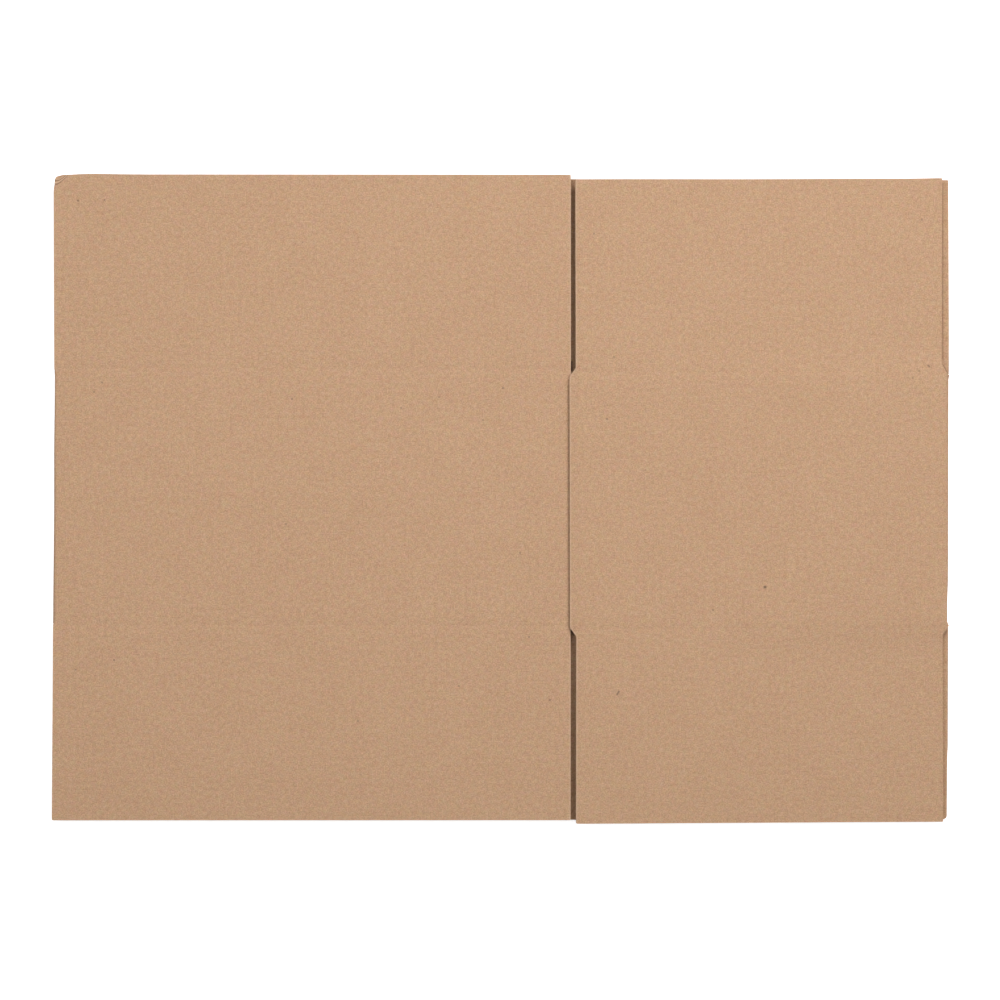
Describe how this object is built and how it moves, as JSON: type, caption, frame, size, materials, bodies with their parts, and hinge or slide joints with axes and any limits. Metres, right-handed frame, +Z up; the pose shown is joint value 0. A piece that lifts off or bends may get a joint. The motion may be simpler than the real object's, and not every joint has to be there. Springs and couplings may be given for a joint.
{
  "type": "flattened cardboard box",
  "caption": "Corrugated slotted carton folded flat, with fluted board panels lying in layers, a glued side lap and flaps parted by slots.",
  "frame": {"origin": "bottom centre of the folded carton's box, on the surface that it lies on", "axes": "+X along the folded carton's length, from the long panel on top towards the short one; +Y along the flutes, away from the viewer; +Z up through the layers"},
  "size_m": [0.5466, 0.3944, 0.0097],
  "materials": {
    "kraft_board": "matte, unprinted brown kraft liner with fine fibres"
  },
  "bodies": {
    "root": {"folded_carton": "kraft_board"}
  },
  "joints": []
}
